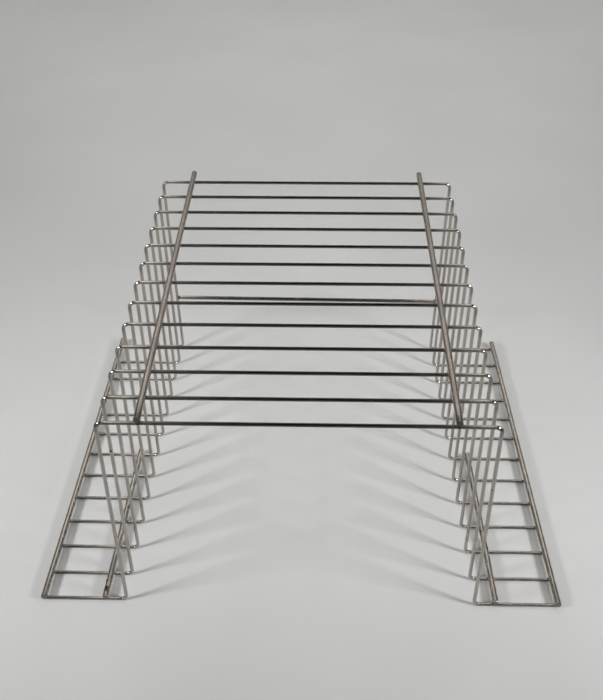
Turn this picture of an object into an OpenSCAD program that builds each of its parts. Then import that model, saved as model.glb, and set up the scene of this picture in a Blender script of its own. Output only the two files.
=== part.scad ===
// Welded wire rack: bent cross wires stand on turned-out feet and carry straight rods.
// +X is to the right, +Y to the rear and +Z up. The origin is on the floor, under the middle
// of the rack's bounding box. Lengths are in millimetres and angles in degrees.

/* [Cross wires] */
// Number of bent cross wires
wire_count = 13; // [8:1:20]
// Diameter of the cross wire
wire_d = 4; // [3:0.5:6]
// Spacing of the cross wires
wire_pitch = 38; // [25:0.5:60]
// Spacing of the first two wires, which were welded a little closer
front_pitch = 34.5; // [20:0.5:60]
// Centreline radius of every bend
bend_r = 7; // [5:0.5:15]
// How much thicker the wire is in its bends, where it was upset by bending
bend_swell = 0.06; // [0.04:0.01:0.2]

/* [Rack] */
// Width across the leg centrelines at the top
top_width = 383; // [250:1:600]
// Height from the foot centreline to the top centreline
leg_height = 288; // [150:1:450]
// Length of a foot, from its leg to the outer rod's centreline
foot_length = 95; // [50:1:150]
// How much further out the front feet stand than the rear feet, each side
front_spread = 8.5; // [0:0.5:20]

/* [Rods] */
// Diameter of the rods
rod_d = 7; // [5:0.5:10]
// Chamfer on the cut ends of the rods and the crossbar
rod_chamfer = 0.6; // [0.2:0.1:1]
// Distance between the top rods
top_rod_spacing = 302; // [150:1:340]
// How far the top rods stand past the rear wire
top_rod_overhang = 16.5; // [6:0.5:30]
// How far the outer foot rods stand past the rear wire
foot_rod_overhang = 10; // [5:0.5:20]
// How far the outer foot rods stand past the front wire
foot_rod_nose = 3.5; // [2:0.5:10]
// Distance from a leg to its inner foot rod
inner_rod_inset = 24; // [15:1:40]
// Number of wires, from the front, that an inner foot rod joins
inner_rod_wires = 7; // [3:1:8]
// How far an inner foot rod stands past its last wire
inner_rod_overhang = 4; // [2:0.5:10]

/* [Crossbar] */
// Diameter of the rear crossbar
crossbar_d = 5.5; // [4:0.5:8]
// Height of the crossbar above the foot centreline
crossbar_height = 93.5; // [40:0.5:140]
// Slope of the crossbar, with its left end higher
crossbar_slope = 0.5; // [0:0.1:2]

/* [Welds] */
// How far a rod sinks into each wire that it crosses
weld_sink = 0.5; // [0.2:0.1:1]
// How far each end of the crossbar sinks into its leg
butt_sink = 1; // [0.5:0.1:1.5]

/* [Hidden] */
$fn = 48;
WIRE_COLOUR = [0.56, 0.54, 0.51];
ROD_COLOUR = [0.62, 0.60, 0.57];

// Distance that wire i stands behind the front wire
function wire_run(i) = i == 0 ? 0 : front_pitch + (i - 1) * wire_pitch;
last_wire = wire_count - 1;
rack_run = wire_run(last_wire);

// The top rods reach furthest back and the outer foot rods furthest forward
front_y = -(rack_run + foot_rod_nose + top_rod_overhang) / 2;
first_wire_y = front_y + foot_rod_nose;
function wire_y(i) = first_wire_y + wire_run(i);

// The legs splay by front_spread at the front wire and stand upright at the rear one
function splay(y) = front_spread * (wire_y(last_wire) - y) / rack_run;

// Heights of the centrelines
foot_z = (wire_d + bend_swell) / 2;
top_z = foot_z + leg_height;
rod_lift = (wire_d + rod_d) / 2 - weld_sink;
half_top = top_width / 2;
foot_end = foot_length + rod_d / 2 - weld_sink;

// Each straight length of wire reaches this far into the bends at its ends
tuck = 0.1;

function wire_name(i) = str("cross_wire_", i + 1);

// A straight length of wire along +Z, from the origin, that tucks into what is at each end
module straight(length) {
    translate([0, 0, -tuck])
        cylinder(h = length + 2 * tuck, d = wire_d);
}

// A round bar with chamfered ends along +Y, from the origin
module rod(length, diameter = rod_d) {
    r = diameter / 2;
    c = rod_chamfer;
    rotate([-90, 0, 0])
        rotate_extrude()
            polygon([[0, 0], [r - c, 0], [r, c], [r, length - c], [r - c, length], [0, length]]);
}

// A bend of wire in the XZ plane about the origin, from angle start, turning by turn
module bend(start, turn) {
    rotate([90, 0, 0])
        rotate([0, 0, start])
            rotate_extrude(angle = turn)
                translate([bend_r, 0])
                    circle(d = wire_d + bend_swell);
}

// Distance from a corner of the centreline to the start of its bend, on a leg that leans
function setback(lean) = bend_r * tan((90 - lean) / 2);

// The right leg and foot of a cross wire, whose foot stands out from its top corner by out
module leg_and_foot(out) {
    lean = atan(out / leg_height);
    turn = 90 - lean;
    reach = [cos(lean), 0, sin(lean)] * bend_r;
    foot_start = half_top + out + setback(lean);
    top_centre = [half_top - setback(lean), 0, top_z - bend_r];
    foot_centre = [foot_start, 0, foot_z + bend_r];
    leg_top = top_centre + reach;
    translate(top_centre)
        bend(lean, turn);
    translate(leg_top)
        rotate([0, 180 - lean, 0])
            straight(norm(leg_top - (foot_centre - reach)));
    translate(foot_centre)
        bend(180 + lean, turn);
    translate([foot_start, 0, foot_z])
        rotate([0, 90, 0])
            straight(half_top + out + foot_end - foot_start);
}

module cross_wire(i) {
    out = splay(wire_y(i));
    half_straight = half_top - setback(atan(out / leg_height));
    color(WIRE_COLOUR)
        translate([0, wire_y(i), 0]) {
            translate([-half_straight, 0, top_z])
                rotate([0, 90, 0])
                    straight(2 * half_straight);
            leg_and_foot(out);
            mirror([1, 0, 0])
                leg_and_foot(out);
        }
}

module top_rod(side) {
    length = rack_run + wire_d / 2 + top_rod_overhang;
    color(ROD_COLOUR)
        translate([side * top_rod_spacing / 2, first_wire_y - wire_d / 2, top_z + rod_lift])
            rod(length);
}

// A rod on the feet, offset from the legs, from y = start to y = finish. It follows the splay.
module foot_rod(side, offset, start, finish) {
    toe_in = atan(front_spread / rack_run);
    length = (finish - start) / cos(toe_in);
    color(ROD_COLOUR)
        translate([side * (half_top + splay(start) + offset), start, foot_z + rod_lift])
            rotate([0, 0, side * toe_in])
                rod(length);
}

module outer_rod(side) {
    foot_rod(side, foot_length, front_y, wire_y(last_wire) + foot_rod_overhang);
}

module inner_rod(side) {
    finish = wire_y(inner_rod_wires - 1) + inner_rod_overhang;
    foot_rod(side, inner_rod_inset, first_wire_y - wire_d / 2, finish);
}

// The crossbar is butted between the legs of the rear wire
module rear_crossbar() {
    length = (top_width - wire_d + 2 * butt_sink) / cos(crossbar_slope);
    color(ROD_COLOUR)
        translate([0, wire_y(last_wire), foot_z + crossbar_height])
            rotate([0, crossbar_slope, 0])
                rotate([0, 0, 90])
                    translate([0, -length / 2, 0])
                        rod(length, crossbar_d);
}

for (i = [0:last_wire]) {
    cross_wire(i);
}
top_rod(-1);  // top_rod_left
top_rod(1);  // top_rod_right
outer_rod(-1);  // foot_rod_left
outer_rod(1);  // foot_rod_right
inner_rod(-1);  // inner_rod_left
inner_rod(1);  // inner_rod_right
rear_crossbar();
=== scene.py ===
import math
import random

import bpy
import numpy as np
from mathutils import Matrix, Vector, noise


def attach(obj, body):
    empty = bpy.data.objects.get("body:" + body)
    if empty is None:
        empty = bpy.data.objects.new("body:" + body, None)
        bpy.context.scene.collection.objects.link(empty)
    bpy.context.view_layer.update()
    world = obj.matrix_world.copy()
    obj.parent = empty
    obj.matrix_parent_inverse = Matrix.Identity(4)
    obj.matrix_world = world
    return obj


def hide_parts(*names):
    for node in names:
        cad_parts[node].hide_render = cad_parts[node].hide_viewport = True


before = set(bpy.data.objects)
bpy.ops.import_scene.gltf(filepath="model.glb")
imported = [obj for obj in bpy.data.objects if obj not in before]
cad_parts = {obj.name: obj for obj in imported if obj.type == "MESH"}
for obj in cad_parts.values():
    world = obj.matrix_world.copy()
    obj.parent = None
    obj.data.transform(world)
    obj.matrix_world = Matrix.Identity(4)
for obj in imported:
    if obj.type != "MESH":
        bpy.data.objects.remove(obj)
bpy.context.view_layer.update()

# ---------------------------------------------------------------- sizes, in metres
# The same rack as in model.glb: +X right, +Y rear, +Z up, the feet on z = 0.
MM = 0.001
SIDES = ((-1, "left"), (1, "right"))

# cross wires
WIRES = 13
WIRE_R = 2.0 * MM
BEND_R = 7.0 * MM
BEND_SWELL = 0.03 * MM
PITCH = 38.0 * MM
FRONT_PITCH = 34.5 * MM
HALF_TOP = 191.5 * MM
LEG_HEIGHT = 288.0 * MM
FOOT_LENGTH = 95.0 * MM
SPREAD = 8.5 * MM
WIRE_CHAMFER = 0.3 * MM
LEG_BOW = 0.44 * MM  # at most

# rods
ROD_R = 3.5 * MM
ROD_CHAMFER = 0.6 * MM
TOP_ROD_X = 151.0 * MM
TOP_ROD_OVERHANG = 16.5 * MM
FOOT_ROD_OVERHANG = 10.0 * MM
FOOT_ROD_NOSE = 3.5 * MM
INNER_INSET = 24.0 * MM
INNER_WIRES = 7
INNER_OVERHANG = 4.0 * MM

# how far the rods sink into the wires, and the crossbar into the legs
SINK = 0.5 * MM
BUTT_SINK = 1.0 * MM

# where things come to lie
RUN = FRONT_PITCH + (WIRES - 2) * PITCH
FRONT_Y = -(RUN + FOOT_ROD_NOSE + TOP_ROD_OVERHANG) / 2
FIRST_Y = FRONT_Y + FOOT_ROD_NOSE
REAR_Y = FIRST_Y + RUN
FOOT_Z = WIRE_R + BEND_SWELL
TOP_Z = FOOT_Z + LEG_HEIGHT
ROD_LIFT = WIRE_R + ROD_R - SINK
WELD_LIFT = WIRE_R - SINK / 2
FOOT_END = FOOT_LENGTH + ROD_R - SINK

# crossbar
BAR_R = 2.75 * MM
BAR_Z = FOOT_Z + 93.5 * MM
BAR_SLOPE = math.radians(0.5)

# fineness of the meshes
RING_STEP = 9 * MM
BEND_STEPS = 12
WIRE_SIDES = 24
ROD_SIDES = 32

# how far the heat stain reaches from a weld
WIRE_HEAT = 6.0 * MM
ROD_HEAT = 5.8 * MM

# rust spots on the foot and inner rods, as seen in the photo:
# (y in mm, strength, reach in mm, side of the rod)
RUST_SPOTS = {
    "foot_left": ((-107, 1.0, 2.0, -1), (30, 0.8, 1.3, 1)),
    "foot_right": ((-190, 0.9, 1.7, 1), (-20, 0.8, 1.2, -1)),
    "inner_left": (
        (-106, 1.0, 1.9, 1),
        (-110, 0.9, 1.2, -1),
        (-225, 0.8, 5.5, -1),
        (-214, 0.8, 3.0, -1),
    ),
    "inner_right": (
        (-135, 0.9, 1.8, -1),
        (-160, 0.8, 2.6, 1),
        (-174, 0.7, 3.0, 1),
        (-216, 0.9, 1.8, 1),
    ),
}
# how far a rust spot's middle lies beside and above a rod's centreline
RUST_ASIDE = 2.2 * MM
RUST_ABOVE = 2.4 * MM


def wire_y(i):
    return FIRST_Y + (0 if i == 0 else FRONT_PITCH + (i - 1) * PITCH)


def splay(y):
    """How much further out the feet stand at y than at the rear wire."""
    return SPREAD * (REAR_Y - y) / RUN


# ---------------------------------------------------------------- mesh building
def mesh_object(name, verts, faces, grain=None, marks=None):
    """A smooth-shaded mesh.

    grain: one point per vertex, for patterns that follow a bar.
    marks: {attribute: one value per vertex}.
    """
    me = bpy.data.meshes.new(name)
    me.from_pydata([tuple(v) for v in verts], [], faces)
    me.polygons.foreach_set("use_smooth", [True] * len(me.polygons))
    if grain is not None:
        att = me.attributes.new("grain", "FLOAT_VECTOR", "POINT")
        att.data.foreach_set("vector", np.array(grain, np.float32).ravel())
    for key, values in (marks or {}).items():
        att = me.attributes.new(key, "FLOAT", "POINT")
        att.data.foreach_set("value", np.array(values, np.float32))
    me.update()
    ob = bpy.data.objects.new(name, me)
    bpy.context.scene.collection.objects.link(ob)
    return ob


def smooth(start, end, value):
    """Eases from 0 where value is start to 1 where it is end; end may be the lower of the two."""
    t = np.clip((value - start) / (end - start), 0, 1)
    return t * t * (3 - 2 * t)


def fading(co, places):
    """For each point of co, the strongest of places [(place, reach, strength)], fading over their reach."""
    out = np.zeros(len(co))
    for place, reach, strength in places:
        d = np.linalg.norm(co - np.array(tuple(place)), axis=1)
        out = np.maximum(out, strength * np.exp(-((d / reach) ** 2)))
    return out


def sweep(name, stations, across, sides, heat_points, heat_reach, spots=(), tarnish=None):
    """A closed round bar.

    stations: [(centre, direction, radius)] from end to end, the first and last with a small radius.
    across: a direction that is square to every station's.
    heat_points: places of welds, which set the attribute "heat" to 1 there, fading over heat_reach.
    spots: [(place, reach, strength)] that set the attribute "rust".
    tarnish: from an array of places to how far the plating is darkened there, by the heat of welding and by
    painted shade and dark reflection, the attribute of the same name.
    """
    verts = []
    grain = []
    # each bar starts at its own place in the grain's pattern
    walk = random.Random(name).uniform(0, 5)
    last = stations[0][0]
    for centre, along, radius in stations:
        walk += (centre - last).length
        last = centre
        side = across.normalized()
        up = side.cross(along).normalized()
        for k in range(sides):
            a = 2 * math.pi * k / sides
            verts.append(centre + radius * (math.cos(a) * up + math.sin(a) * side))
            grain.append((radius * math.cos(a), walk, radius * math.sin(a)))
    n = len(stations)
    faces = []
    for j in range(n - 1):
        for k in range(sides):
            k2 = (k + 1) % sides
            faces.append((j * sides + k, j * sides + k2, (j + 1) * sides + k2, (j + 1) * sides + k))
    for j, flip in ((0, True), (n - 1, False)):
        centre = len(verts)
        verts.append(stations[j][0].copy())
        grain.append((0.0, grain[j * sides][1], 0.0))
        for k in range(sides):
            k2 = (k + 1) % sides
            a, b = j * sides + k, j * sides + k2
            faces.append((b, a, centre) if flip else (a, b, centre))
    co = np.array([tuple(v) for v in verts])
    # the cut faces have a painted shade at their rim and are lighter in the middle
    cut = np.zeros(len(co))
    cut[:sides] = cut[(n - 1) * sides : n * sides] = 1
    cut[n * sides :] = 0.3
    marks = {
        "heat": fading(co, [(p, heat_reach, 1.0) for p in heat_points]),
        "rust": fading(co, spots),
        # darkening from welding heat, and painted shade and dark reflection on the wires and the crossbar
        "tarnish": tarnish(co) if tarnish else np.zeros(len(co)),
        "cut": cut,
    }
    return mesh_object(name, verts, faces, grain, marks)


def end_profile(radius, chamfer, steps=4):
    """[(distance from the end, radius)] of a cut end with a rounded edge, from the face inwards."""
    out = [(0.0, radius - chamfer)]
    for k in range(1, steps + 1):
        a = 0.5 * math.pi * k / steps
        out.append((chamfer * (1 - math.cos(a)), radius - chamfer * (1 - math.sin(a))))
    return out


def straight_places(length, dense_at=(), dense_reach=4 * MM, dense_step=1 * MM, closest=0.4 * MM):
    """Distances along a straight, closer together near dense_at, but no nearer than closest."""
    places = set(np.round(np.linspace(0, length, max(2, int(length / RING_STEP) + 1)), 6))
    for d in dense_at:
        k = -dense_reach
        while k <= dense_reach:
            if 0 < d + k < length:
                places.add(round(d + k, 6))
            k += dense_step
    out = sorted(places)
    kept = [out[0]]
    for p in out[1:]:
        if p - kept[-1] > closest:
            kept.append(p)
    kept[-1] = length
    return kept


# ---------------------------------------------------------------- materials
def nodes_of(name):
    mat = bpy.data.materials.new(name)
    mat.use_nodes = True
    tree = mat.node_tree
    tree.nodes.clear()
    out = tree.nodes.new("ShaderNodeOutputMaterial")
    shader = tree.nodes.new("ShaderNodeBsdfPrincipled")
    tree.links.new(shader.outputs["BSDF"], out.inputs["Surface"])
    return mat, tree, shader


def noise_node(tree, vector, scale, detail=3.0, rough=0.5):
    node = tree.nodes.new("ShaderNodeTexNoise")
    node.inputs["Scale"].default_value = scale
    node.inputs["Detail"].default_value = detail
    node.inputs["Roughness"].default_value = rough
    tree.links.new(vector, node.inputs["Vector"])
    return node.outputs["Fac"]


def ramp(tree, value, stops):
    """A colour ramp with stops [(place, grey or colour)]."""
    node = tree.nodes.new("ShaderNodeValToRGB")
    cr = node.color_ramp
    while len(cr.elements) > len(stops):
        cr.elements.remove(cr.elements[-1])
    while len(cr.elements) < len(stops):
        cr.elements.new(0.5)
    for el, (place, c) in zip(cr.elements, stops):
        el.position = place
        el.color = (c, c, c, 1) if isinstance(c, (int, float)) else (*c, 1)
    tree.links.new(value, node.inputs["Fac"])
    return node.outputs["Color"]


def set_socket(tree, socket, value):
    """Links value to the socket, or sets it where value is a number or a colour."""
    if isinstance(value, (int, float)):
        socket.default_value = value
    elif isinstance(value, tuple):
        socket.default_value = (*value, 1)
    else:
        tree.links.new(value, socket)


def math_node(tree, op, a, b):
    node = tree.nodes.new("ShaderNodeMath")
    node.operation = op
    node.use_clamp = op in ("ADD", "MULTIPLY", "SUBTRACT")
    set_socket(tree, node.inputs[0], a)
    set_socket(tree, node.inputs[1], b)
    return node.outputs[0]


def mix_colour(tree, factor, a, b, blend="MIX"):
    node = tree.nodes.new("ShaderNodeMix")
    node.data_type = "RGBA"
    node.blend_type = blend
    # a colour mix has its factor in socket 0 and its colours in sockets 6 and 7
    set_socket(tree, node.inputs[0], factor)
    set_socket(tree, node.inputs[6], a)
    set_socket(tree, node.inputs[7], b)
    return node.outputs[2]


def attribute(tree, name, output="Fac"):
    node = tree.nodes.new("ShaderNodeAttribute")
    node.attribute_name = name
    return node.outputs[output]


def drawn_out(tree, along):
    """The grain's coordinates, squeezed along the bar so that a pattern comes out in streaks."""
    node = tree.nodes.new("ShaderNodeMapping")
    node.inputs["Scale"].default_value = (1.0, along, 1.0)
    tree.links.new(attribute(tree, "grain", "Vector"), node.inputs["Vector"])
    return node.outputs["Vector"]


def object_place(tree):
    return tree.nodes.new("ShaderNodeTexCoord").outputs["Object"]


def add_bump(tree, shader, height, strength, distance):
    bump = tree.nodes.new("ShaderNodeBump")
    bump.inputs["Strength"].default_value = strength
    bump.inputs["Distance"].default_value = distance
    tree.links.new(height, bump.inputs["Height"])
    tree.links.new(bump.outputs["Normal"], shader.inputs["Normal"])


# first, the tone of darkened plating, used both for heat darkening at welds and for painted shade and dark
# reflection
TARNISH_AND_SHADE_TONE = (0.155, 0.148, 0.140)
BARE_CUT = (0.13, 0.12, 0.11)
DARK_RUST = (0.012, 0.009, 0.007)
LIGHT_RUST = (0.050, 0.028, 0.018)


def plated(name, bright, dull, tint, rough, draw):
    """Drawn and plated steel.

    bright and dull: the plating's colours, mottled in streaks of about 2 mm by 30 mm.
    tint: the colour of the heat stain round the welds.
    rough: (lowest, highest) roughness.
    draw: strength of the fine lines that the drawing die left along the bar.
    """
    mat, tree, shader = nodes_of(name)
    place = object_place(tree)
    lines = noise_node(tree, drawn_out(tree, 0.02), 3500.0, 3.0, 0.6)
    mottle = noise_node(tree, drawn_out(tree, 0.07), 420.0, 4.0, 0.6)
    cloud = noise_node(tree, place, 22.0, 2.0, 0.5)
    pits = noise_node(tree, place, 1300.0, 2.0, 0.5)
    blotch = noise_node(tree, place, 420.0, 3.0, 0.6)
    cut = attribute(tree, "cut")

    base = mix_colour(tree, ramp(tree, mottle, [(0.32, 0.0), (0.74, 1.0)]), bright, dull)
    shade = ramp(tree, cloud, [(0.35, 0.86), (0.65, 1.0)])
    base = mix_colour(tree, 1.0, base, shade, "MULTIPLY")
    # darkened plating, from heat at the welds and from painted shade and painted dark reflection on the
    # wires and the crossbar
    tarnish_and_shade_amount = math_node(tree, "MULTIPLY", attribute(tree, "tarnish"), math_node(tree, "ADD", mottle, 0.5))
    tarnished_and_shaded = mix_colour(tree, tarnish_and_shade_amount, base, TARNISH_AND_SHADE_TONE)
    # heat stain, broken up so that its edge is uneven
    stain = math_node(tree, "MULTIPLY", attribute(tree, "heat"), math_node(tree, "ADD", blotch, 0.4))
    stain = ramp(tree, stain, [(0.16, 0.0), (0.66, 1.0)])
    stained = mix_colour(tree, stain, tarnished_and_shaded, tint)
    # the sheared faces are bare steel, dull and darker, with a painted shade round their rim
    stained = mix_colour(tree, cut, stained, BARE_CUT)
    # rust and pitting, where marked and in a few small specks anywhere
    speck = ramp(tree, noise_node(tree, place, 210.0, 2.0, 0.5), [(0.735, 0.0), (0.76, 1.0)])
    broken = math_node(tree, "MULTIPLY", attribute(tree, "rust"), math_node(tree, "ADD", blotch, 0.55))
    broken = ramp(tree, broken, [(0.34, 0.0), (0.55, 1.0)])
    rusty = math_node(tree, "MAXIMUM", broken, speck)
    rust_tone = mix_colour(tree, pits, DARK_RUST, LIGHT_RUST)
    tree.links.new(mix_colour(tree, rusty, stained, rust_tone), shader.inputs["Base Color"])
    metal = math_node(tree, "SUBTRACT", 1.0, math_node(tree, "MULTIPLY", rusty, 0.85))
    tree.links.new(metal, shader.inputs["Metallic"])

    lowest, highest = rough
    r = ramp(tree, mottle, [(0.3, lowest), (0.7, highest)])
    for cause, effect in ((stain, 0.16), (rusty, 0.4), (cut, 0.22)):
        r = math_node(tree, "ADD", r, math_node(tree, "MULTIPLY", cause, effect))
    tree.links.new(r, shader.inputs["Roughness"])

    height = math_node(tree, "MULTIPLY", lines, draw)
    for cause, effect in ((pits, 0.25), (rusty, 0.4)):
        height = math_node(tree, "ADD", height, math_node(tree, "MULTIPLY", cause, effect))
    add_bump(tree, shader, height, 0.25, 0.03 * MM)
    return mat


def weld_metal():
    """Rough, heat-blackened weld, with some of the plating's colour in patches."""
    mat, tree, shader = nodes_of("weld_metal")
    place = object_place(tree)
    scale_marks = noise_node(tree, place, 900.0, 4.0, 0.6)
    patch = ramp(tree, noise_node(tree, place, 260.0, 2.0, 0.5), [(0.4, 0.0), (0.62, 1.0)])
    tone = mix_colour(tree, patch, (0.03, 0.024, 0.02), (0.15, 0.122, 0.098))
    tree.links.new(tone, shader.inputs["Base Color"])
    shader.inputs["Metallic"].default_value = 0.85
    tree.links.new(ramp(tree, scale_marks, [(0.3, 0.28), (0.7, 0.55)]), shader.inputs["Roughness"])
    add_bump(tree, shader, scale_marks, 0.6, 0.08 * MM)
    return mat


WIRE_MAT = plated(
    "plated_wire",
    bright=(0.50, 0.472, 0.43),
    dull=(0.38, 0.352, 0.315),
    tint=(0.085, 0.062, 0.045),
    rough=(0.13, 0.24),
    draw=0.5,
)
ROD_MAT = plated(
    "plated_rod",
    bright=(0.50, 0.455, 0.41),
    dull=(0.35, 0.315, 0.28),
    tint=(0.10, 0.07, 0.05),
    rough=(0.20, 0.32),
    draw=0.8,
)
WELD_MAT = weld_metal()


def finish_piece(ob, mat, slot, *cad_nodes):
    ob.data.materials.append(mat)
    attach(ob, "root")
    if cad_nodes:
        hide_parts(*cad_nodes)


# ---------------------------------------------------------------- cross wires
# rust spots on the first two wires, as (place, reach, strength)
WIRE_SPOTS = {
    0: [(Vector((-208.5 * MM, wire_y(0) - 1 * MM, 3.5 * MM)), 1.6 * MM, 1.0)],
    1: [(Vector((-193.5 * MM, wire_y(1) - 2 * MM, 216 * MM)), 2.0 * MM, 1.0)],
}
# how far down its leg the second one lies
LEG_SPOTS = {1: (72 * MM,)}


def wire_welds(i):
    """Where wire i touches the rods, and the crossbar if it is the rear one."""
    y = wire_y(i)
    out = HALF_TOP + splay(y)
    places = [(TOP_ROD_X, TOP_Z + WELD_LIFT), (out + FOOT_LENGTH, FOOT_Z + WELD_LIFT)]
    if i < INNER_WIRES:
        places.append((out + INNER_INSET, FOOT_Z + WELD_LIFT))
    if i == WIRES - 1:
        places.append((HALF_TOP - WIRE_R, BAR_Z))
    return [Vector((s * x, y, z)) for s, _ in SIDES for x, z in places]


def half_wire_stations(i):
    """Right half of wire i, from the middle of its top straight to the cut end of its foot."""
    y = wire_y(i)
    out = splay(y)
    lean = math.atan(out / LEG_HEIGHT)
    turn = math.pi / 2 - lean
    setback = BEND_R * math.tan(turn / 2)
    stations = []

    def put(x, z, angle, radius):
        """angle is the direction of travel: 0 is +X and -90 degrees is straight down."""
        stations.append((Vector((x, y, z)), Vector((math.cos(angle), 0, math.sin(angle))), radius))

    def put_bend(x, z, start, facing):
        """A bend round (x, z) from the direction start, turning by facing * turn; +1 is upwards."""
        for k in range(BEND_STEPS + 1):
            a = start + facing * turn * k / BEND_STEPS
            swell = BEND_SWELL * math.sin(math.pi * k / BEND_STEPS)
            put(x + facing * BEND_R * math.sin(a), z - facing * BEND_R * math.cos(a), a, WIRE_R + swell)

    top_end = HALF_TOP - setback
    for d in straight_places(top_end, [TOP_ROD_X])[:-1]:
        put(d, TOP_Z, 0.0, WIRE_R)
    put_bend(top_end, TOP_Z - BEND_R, 0.0, -1)

    leg_top = stations[-1][0]
    foot_start = HALF_TOP + out + setback
    leg_foot = Vector((foot_start - BEND_R * math.sin(turn), y, FOOT_Z + BEND_R - BEND_R * math.cos(turn)))
    length = (leg_foot - leg_top).length
    down = (leg_foot - leg_top).normalized()
    # the legs of each wire bow by their own amount
    bow = LEG_BOW * noise.noise(Vector((i * 2.3, 5.1, 0.0)))
    for d in straight_places(length, LEG_SPOTS.get(i, ()))[1:-1]:
        c = leg_top + down * d
        put(c.x + bow * math.sin(math.pi * d / length), c.z, -turn, WIRE_R)
    put_bend(foot_start, FOOT_Z + BEND_R, -turn, 1)

    foot_length = HALF_TOP + out + FOOT_END - foot_start
    weld_at = [HALF_TOP + out + FOOT_LENGTH - foot_start]
    if i < INNER_WIRES:
        weld_at.append(HALF_TOP + out + INNER_INSET - foot_start)
    # the rings of the cut end come last
    for d in straight_places(foot_length, weld_at)[1:]:
        if d < foot_length - 0.5 * MM:
            put(foot_start + d, FOOT_Z, 0.0, WIRE_R)
    for back, r in reversed(end_profile(WIRE_R, WIRE_CHAMFER, 3)):
        put(foot_start + foot_length - back, FOOT_Z, 0.0, r)
    return stations


def wire_tarnish(co):
    """Painted dark reflection and painted shade: the top straights are darkest, then the undersides of the
    feet, then a patch on each top bend.
    """
    x, y, z = np.abs(co[:, 0]), co[:, 1], co[:, 2]
    # painted dark reflection along the top straights, fading out beyond the top rods
    top = smooth(176 * MM, 150 * MM, x) * (z > 280 * MM)
    # painted dark reflection: the front wire is dark right out to its bends, but for its upper side
    front = (y < FIRST_Y + 3 * MM) * (z > TOP_Z - 4 * MM)
    top = np.maximum(top, 1.2 * front * smooth(TOP_Z + 0.9 * MM, TOP_Z, z))
    # painted shade on the undersides of the feet, and painted dark reflection towards their outer ends
    feet = (z < 10 * MM) * (x > 200 * MM)
    foot = feet * (0.22 * smooth(232 * MM, 258 * MM, x) + 0.75 * smooth(3.3 * MM, 1.9 * MM, z))
    # painted dark reflection on the outside of each top bend, where the leg starts
    from_patch = np.hypot(x - 192.5 * MM, z - 283.5 * MM)
    bend = 0.7 * np.exp(-((from_patch / (3.5 * MM)) ** 2))
    return np.maximum(np.maximum(top, foot), bend)


for i in range(WIRES):
    right = half_wire_stations(i)
    left = [
        (Vector((-c.x, c.y, c.z)), Vector((t.x, 0, -t.z)), r)
        for c, t, r in reversed(right[1:])
    ]
    wire = sweep(
        f"wire_{i + 1:02d}",
        left + right,
        Vector((0, 1, 0)),
        WIRE_SIDES,
        wire_welds(i),
        WIRE_HEAT,
        WIRE_SPOTS.get(i, ()),
        wire_tarnish,
    )
    finish_piece(wire, WIRE_MAT, "wire", f"cross_wire_{i + 1}")


# ---------------------------------------------------------------- rods
def bar_tarnish(co):
    """Painted dark reflection: the crossbar is dark in the middle of its length, and lighter along its
    lower side.
    """
    x, z = co[:, 0], co[:, 2]
    height = z - (BAR_Z - x * math.tan(BAR_SLOPE))
    upper = 0.25 + 0.75 * smooth(-1.2 * MM, 0.6 * MM, height)
    return 1.3 * smooth(186 * MM, 120 * MM, np.abs(x)) * upper


def front_end_tarnish(co):
    """The first few millimetres of the top rods went dark when their ends were welded."""
    return 1.5 * smooth(FIRST_Y + 11 * MM, FIRST_Y + 1 * MM, co[:, 1])


def make_rod(name, start, end, welds, cad_node, spots=(), tarnish=None, radius=ROD_R):
    along = (end - start).normalized()
    across = along.cross(Vector((0, 0, 1))).normalized()
    length = (end - start).length
    dense_at = [(p - start).dot(along) for p in welds]
    dense_at += [(p - start).dot(along) for p, _, _ in spots]
    ends = end_profile(radius, ROD_CHAMFER)
    clear = 2 * ROD_CHAMFER
    stations = [(start + along * back, along, r) for back, r in ends]
    for d in straight_places(length, dense_at):
        if clear < d < length - clear:
            stations.append((start + along * d, along, radius))
    stations += [(end - along * back, along, r) for back, r in reversed(ends)]
    rod = sweep(name, stations, across, ROD_SIDES, welds, ROD_HEAT, spots, tarnish)
    finish_piece(rod, ROD_MAT, "rod", cad_node)


def top_rod(s, side):
    """Makes a top rod and returns its welds and its direction."""
    z = TOP_Z + ROD_LIFT
    welds = [Vector((s * TOP_ROD_X, wire_y(i), TOP_Z + WELD_LIFT)) for i in range(WIRES)]
    make_rod(
        f"top_rod_{side}_bar",
        Vector((s * TOP_ROD_X, FIRST_Y - WIRE_R, z)),
        Vector((s * TOP_ROD_X, REAR_Y + TOP_ROD_OVERHANG, z)),
        welds,
        f"top_rod_{side}",
        tarnish=front_end_tarnish,
    )
    return welds, Vector((0, 1, 0))


def foot_rod(kind, s, side, offset, first_y, last_y, count):
    """Makes a rod on the first count feet, offset from the legs; returns its welds and its direction."""

    def at(y, z):
        return Vector((s * (HALF_TOP + splay(y) + offset), y, z))

    z = FOOT_Z + ROD_LIFT
    start, end = at(first_y, z), at(last_y, z)
    welds = [at(wire_y(i), FOOT_Z + WELD_LIFT) for i in range(count)]
    spots = [
        (at(y * MM, z) + Vector((to * RUST_ASIDE, 0, RUST_ABOVE)), reach * MM, strength)
        for y, strength, reach, to in RUST_SPOTS[f"{kind}_{side}"]
    ]
    make_rod(f"{kind}_rod_{side}_bar", start, end, welds, f"{kind}_rod_{side}", spots)
    return welds, (end - start).normalized()


inner_end = wire_y(INNER_WIRES - 1) + INNER_OVERHANG
weld_places = {}
for s, side in SIDES:
    weld_places[f"top_{side}"] = top_rod(s, side)
    weld_places[f"foot_{side}"] = foot_rod(
        "foot", s, side, FOOT_LENGTH, FRONT_Y, REAR_Y + FOOT_ROD_OVERHANG, WIRES
    )
    weld_places[f"inner_{side}"] = foot_rod(
        "inner", s, side, INNER_INSET, FIRST_Y - WIRE_R, inner_end, INNER_WIRES
    )

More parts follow.
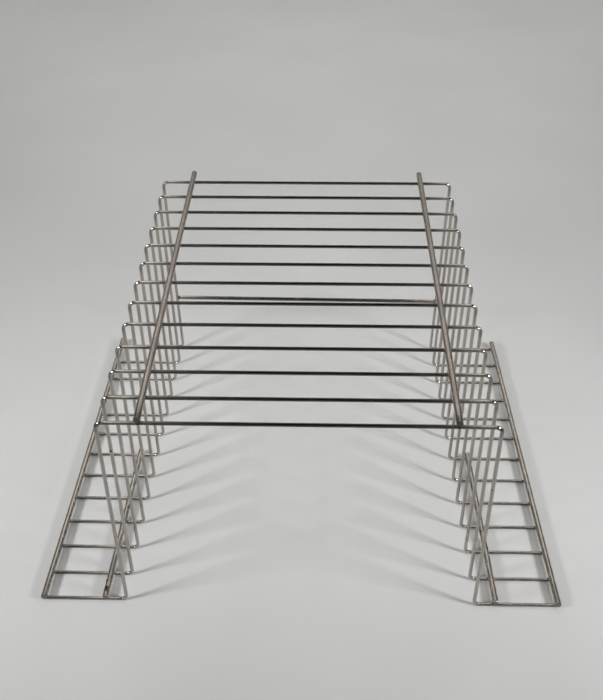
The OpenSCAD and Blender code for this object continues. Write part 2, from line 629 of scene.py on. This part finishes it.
half_bar = HALF_TOP - WIRE_R + BUTT_SINK
bar_ends = [
    Vector((s * half_bar, REAR_Y, BAR_Z - s * half_bar * math.tan(BAR_SLOPE)))
    for s, _ in SIDES
]
make_rod("crossbar_bar", *bar_ends, [], "rear_crossbar", tarnish=bar_tarnish, radius=BAR_R)

# ---------------------------------------------------------------- weld beads
BEAD_REACH = 1.75 * MM
BEAD_BELLY = 0.35 * MM
BEAD_LIP = 0.12 * MM
FRONT_BEAD_SIZE = 1.5


def ring_of_profiles(profiles, outward):
    """Verts and faces of a closed ring through the profiles [[place]], one per step round it."""
    verts, faces, rows = [], [], []
    for profile in profiles:
        rows.append([len(verts) + j for j in range(len(profile))])
        verts += profile
    for k, a in enumerate(rows):
        b = rows[(k + 1) % len(rows)]
        for j in range(len(a) - 1):
            quad = (a[j], a[j + 1], b[j + 1], b[j])
            faces.append(quad if outward else (quad[0], quad[3], quad[2], quad[1]))
    inner, outer = tuple(r[0] for r in rows), tuple(r[-1] for r in rows)
    faces.append(tuple(reversed(inner)) if outward else inner)
    faces.append(outer if outward else tuple(reversed(outer)))
    return verts, faces


def bead_ring(centre, along, seed, size=1.0, segments=20):
    """The collar of metal squeezed out where a round wire was pressed into a round rod.

    The wire runs across and the rod along; the collar fills the gap between them.
    """
    up = Vector((0, 0, 1))
    across = along.cross(up).normalized()
    profiles = []
    for k in range(segments):
        a = 2 * math.pi * k / segments
        where = Vector((math.cos(a) * 1.3 + seed * 7.1, math.sin(a) * 1.3, seed * 1.9))
        ragged = 1 + 0.16 * noise.noise(where)
        reach = BEAD_REACH * ragged * size
        belly = BEAD_BELLY * ragged * size
        along_rod, across_rod = reach * math.cos(a), reach * math.sin(a)
        rod_gap = ROD_R - math.sqrt(ROD_R**2 - across_rod**2) - SINK / 2
        wire_gap = WIRE_R - math.sqrt(max(WIRE_R**2 - along_rod**2, 0)) - SINK / 2
        top = max(rod_gap, -0.1 * MM) + BEAD_LIP
        low = -max(wire_gap, -0.1 * MM) - BEAD_LIP
        out = along * math.cos(a) + across * math.sin(a)
        outline = (
            (reach * 0.35, 0.1 * MM),
            (reach * 0.9, top),
            (reach + belly * 0.7, top * 0.75 + low * 0.25),
            (reach + belly, (top + low) / 2),
            (reach + belly * 0.7, top * 0.25 + low * 0.75),
            (reach * 0.9, low),
            (reach * 0.35, -0.1 * MM),
        )
        profiles.append([centre + out * d + up * h for d, h in outline])
    return ring_of_profiles(profiles, outward=True)


def bead_collar(centre, along, radius, seed, segments=28):
    """A fillet of weld round the end of a bar that is butted on to a wire; along points away from it."""
    side = Vector((0, 1, 0))
    up = side.cross(along).normalized()
    profiles = []
    for k in range(segments):
        a = 2 * math.pi * k / segments
        out = up * math.cos(a) + side * math.sin(a)
        where = Vector((math.cos(a) * 1.5 + seed * 5.3, math.sin(a) * 1.5, seed))
        ragged = 1 + 0.3 * noise.noise(where)
        # the wire is narrower than the bar, so the fillet hugs the bar's end face beside it
        outline = (
            (radius - 0.5 * MM, 1.6 * MM * ragged),
            (radius + 0.05 * MM, 1.9 * MM * ragged),
            (radius + 0.3 * MM * ragged, 1.0 * MM),
            (radius + 0.1 * MM, 0.2 * MM),
            (radius - 0.9 * MM, -0.5 * MM),
            (radius * 0.35, -0.6 * MM),
        )
        profiles.append([centre + out * d + along * h for d, h in outline])
    return ring_of_profiles(profiles, outward=False)


def weld_piece(name, beads):
    """One object from several beads, each (verts, faces)."""
    verts, faces = [], []
    for bead_verts, bead_faces in beads:
        base = len(verts)
        verts += bead_verts
        faces += [tuple(base + k for k in f) for f in bead_faces]
    finish_piece(mesh_object(name, verts, faces), WELD_MAT, "weld")


seed = 0
for where, (places, along) in weld_places.items():
    beads = []
    for i, p in enumerate(places):
        seed += 1
        # the front welds of the top rods are the largest
        size = FRONT_BEAD_SIZE if i == 0 and where.startswith("top") else 1.0
        beads.append(bead_ring(p, along, seed, size))
    weld_piece(f"weld_{where}", beads)
beads = []
for (s, _), end in zip(SIDES, bar_ends):
    inward = Vector((-s, 0, 0))
    beads.append(bead_collar(end + inward * BUTT_SINK, inward, BAR_R, 3 + s))
weld_piece("weld_crossbar", beads)

# ---------------------------------------------------------------- floor
HALF_FLOOR = 12
floor_mat, tree, shader = nodes_of("pale_floor")
cloud = noise_node(tree, object_place(tree), 3.0, 4.0, 0.5)
tone = ramp(tree, cloud, [(0.3, (0.655, 0.66, 0.66)), (0.7, (0.70, 0.705, 0.70))])
tree.links.new(tone, shader.inputs["Base Color"])
shader.inputs["Roughness"].default_value = 0.7
corners = [(x * HALF_FLOOR, y * HALF_FLOOR, 0.0) for x, y in ((-1, -1), (1, -1), (1, 1), (-1, 1))]
floor = mesh_object("floor", corners, [(0, 1, 2, 3)])
floor.data.materials.append(floor_mat)


# ---------------------------------------------------------------- light
def area(name, place, target, width, depth, power, spread=180.0, tone=(1, 1, 1)):
    """A rectangular light at place, facing target; spread is in degrees."""
    data = bpy.data.lights.new(name, "AREA")
    data.shape = "RECTANGLE"
    data.size, data.size_y = width, depth
    data.energy = power
    data.spread = math.radians(spread)
    data.color = tone
    ob = bpy.data.objects.new(name, data)
    bpy.context.scene.collection.objects.link(ob)
    back = Vector(place) - Vector(target)
    ob.location = place
    ob.rotation_mode = "QUATERNION"
    ob.rotation_quaternion = back.to_track_quat("Z", "Y")


def overhead(name, x, y, z, width, depth, power, spread=180.0, tone=(1, 1, 1)):
    area(name, (x, y, z), (x, y, 0), width, depth, power, spread, tone)


WARM = (1.0, 0.965, 0.92)
# what all the overhead strips share: y, height and length
STRIP = (0.15, 2.0)
STRIP_LENGTH = 4.7
# what the lights over the far floor share: height, long and short side, and spread
FAR_Z = 2.6
FAR_LONG = 12.0
FAR_SHORT = 6.0
FAR_SPREAD = 84

for s, side in SIDES:
    # narrow bright strips overhead with a dark gap between them, and a key low down at each side
    overhead(f"strip_{side}", s * 0.56, *STRIP, 0.08, STRIP_LENGTH, 3.0, tone=WARM)
    area(f"key_{side}", (s * 1.25, -0.62, 0.86), (0, 0.15, 0), 0.26, 0.26, 2.9, 80)
overhead("strip_far_left", -0.70, *STRIP, 0.07, STRIP_LENGTH, 3.2, tone=WARM)
overhead("strip_far_right", 0.88, *STRIP, 0.05, STRIP_LENGTH, 3.8, tone=WARM)
area("rear_wall_light", (0, 2.5, 2.0), (0, 0, 0.6), 5.0, 1.8, 14.0, tone=WARM)
overhead("rear_floor_light", 0, 1.55, 1.95, 3.2, 1.2, 8.0, 100)
# these reach only the floor further out, for views from the sides and from behind
overhead("far_front_light", 0, -5.4, FAR_Z, FAR_LONG, FAR_SHORT, 170.0, FAR_SPREAD)
overhead("far_rear_light", 0, 8.0, FAR_Z, FAR_LONG, FAR_SHORT, 110.0, FAR_SPREAD)
for s, side in SIDES:
    overhead(f"far_light_{side}", s * 5.4, 0, FAR_Z, FAR_SHORT, FAR_LONG, 170.0, FAR_SPREAD)

# a room that is light low down and dark above
world = bpy.data.worlds.new("studio")
bpy.context.scene.world = world
world.use_nodes = True
sky = world.node_tree
direction = sky.nodes.new("ShaderNodeSeparateXYZ")
sky.links.new(sky.nodes.new("ShaderNodeTexCoord").outputs["Generated"], direction.inputs[0])
band = ramp(sky, direction.outputs["Z"], [(0.12, (0.38, 0.375, 0.37)), (0.23, (0.012, 0.012, 0.012))])
background = sky.nodes["Background"]
sky.links.new(band, background.inputs["Color"])
background.inputs["Strength"].default_value = 1.0

# ---------------------------------------------------------------- camera
# The photo's camera, solved for together with the rack's proportions.
CAMERA_PLACE = (0.01868, -0.80498, 0.86965)
CAMERA_DOWN = math.radians(40.404)
CAMERA_YAW = math.radians(-1.476)
CAMERA_ROLL = math.radians(0.370)
LENS = 51.685
SENSOR = 36.0

forward = Vector(
    (
        math.sin(CAMERA_YAW) * math.cos(CAMERA_DOWN),
        math.cos(CAMERA_YAW) * math.cos(CAMERA_DOWN),
        -math.sin(CAMERA_DOWN),
    )
)
level = Vector((math.cos(CAMERA_YAW), -math.sin(CAMERA_YAW), 0))
below = -level.cross(forward)
camera_right = math.cos(CAMERA_ROLL) * level + math.sin(CAMERA_ROLL) * below
camera_below = -math.sin(CAMERA_ROLL) * level + math.cos(CAMERA_ROLL) * below
cam_data = bpy.data.cameras.new("camera")
cam_data.sensor_fit = "HORIZONTAL"
cam_data.sensor_width = SENSOR
cam_data.lens = LENS
cam = bpy.data.objects.new("camera", cam_data)
bpy.context.scene.collection.objects.link(cam)
turn = Matrix((camera_right, -camera_below, -forward)).transposed().to_4x4()
cam.matrix_world = Matrix.Translation(CAMERA_PLACE) @ turn
bpy.context.scene.camera = cam

bpy.context.scene.view_settings.view_transform = "Standard"
